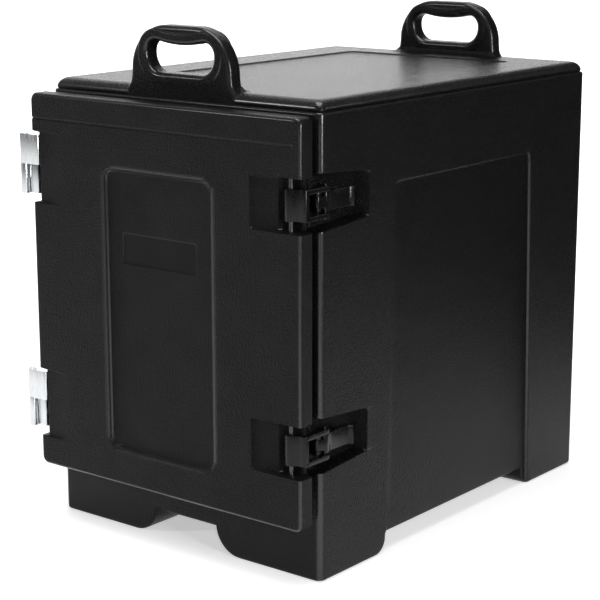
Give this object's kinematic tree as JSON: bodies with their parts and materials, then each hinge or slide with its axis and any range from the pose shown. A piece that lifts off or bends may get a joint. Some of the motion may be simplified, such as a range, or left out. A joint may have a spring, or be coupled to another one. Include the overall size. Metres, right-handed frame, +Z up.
{
  "type": "insulated food carrier",
  "caption": "Front-loading insulated cabinet for food pans, with a side-hinged door, two draw latches, lift-off hinges, top handles and moulded feet.",
  "frame": {"origin": "middle of the footprint of the whole object, on the floor under the feet", "axes": "+Z up, the door faces -Y, the hinges are on the -X side and the latches on the +X side"},
  "size_m": [0.4648, 0.64, 0.66],
  "materials": {
    "cabinet_plastic": "black polyethylene with a fine pebbled mould texture, slightly glossy",
    "door_plastic": "black polyethylene with a finer, duller grain than the cabinet",
    "liner_plastic": "smooth black polyethylene of the cavity and the door's inner face",
    "foam": "rigid polyurethane foam, sealed in",
    "brass": "knurled threaded inserts",
    "gasket_rubber": "soft black rubber",
    "stainless": "polished stainless steel",
    "steel_pin": "plain steel pins and screws",
    "latch_nylon": "glossy black moulded nylon"
  },
  "bodies": {
    "cabinet": {"cabinet_shell": "cabinet_plastic", "cabinet_liner": "liner_plastic", "cabinet_foam": "foam", "cabinet_inserts": "brass", "upper_hinge_body_leaf": "stainless", "upper_hinge_pin": "stainless", "lower_hinge_body_leaf": "stainless", "lower_hinge_pin": "stainless", "hinge_body_screws": "stainless", "upper_latch_bracket": "latch_nylon", "upper_lever_pin": "steel_pin", "lower_latch_bracket": "latch_nylon", "lower_lever_pin": "steel_pin", "latch_screws": "steel_pin"},
    "door": {"door_shell": "door_plastic", "door_inner_panel": "liner_plastic", "door_foam": "foam", "door_gasket": "gasket_rubber", "door_inserts": "brass", "upper_hinge_door_leaf": "stainless", "lower_hinge_door_leaf": "stainless", "hinge_door_screws": "stainless", "upper_keeper_pin": "steel_pin", "lower_keeper_pin": "steel_pin"},
    "upper_lever_body": {"upper_lever": "latch_nylon", "upper_hook_pin": "steel_pin"},
    "upper_hook_body": {"upper_hook": "latch_nylon"},
    "lower_lever_body": {"lower_lever": "latch_nylon", "lower_hook_pin": "steel_pin"},
    "lower_hook_body": {"lower_hook": "latch_nylon"}
  },
  "joints": [
    {"name": "door_hinge", "type": "hinge", "parent": "cabinet", "child": "door", "pos_m": [-0.22662, -0.314, 0.319], "axis": [0, 0, -1], "range_deg": [0, 270]},
    {"name": "upper_lever_hinge", "type": "hinge", "parent": "cabinet", "child": "upper_lever_body", "pos_m": [0.22237, -0.276, 0.467], "axis": [0, 0, -1], "range_deg": [0, 120]},
    {"name": "upper_hook_hinge", "type": "hinge", "parent": "upper_lever_body", "child": "upper_hook_body", "pos_m": [0.22587, -0.2655, 0.467], "axis": [0, 0, 1], "range_deg": [0, 156]},
    {"name": "lower_lever_hinge", "type": "hinge", "parent": "cabinet", "child": "lower_lever_body", "pos_m": [0.22237, -0.276, 0.173], "axis": [0, 0, -1], "range_deg": [0, 120]},
    {"name": "lower_hook_hinge", "type": "hinge", "parent": "lower_lever_body", "child": "lower_hook_body", "pos_m": [0.22587, -0.2655, 0.173], "axis": [0, 0, 1], "range_deg": [0, 156]}
  ],
  "couplings": [
    {"joint": "upper_hook_hinge", "follows": "upper_lever_hinge", "ratio": 1.3},
    {"joint": "lower_hook_hinge", "follows": "lower_lever_hinge", "ratio": 1.3}
  ]
}
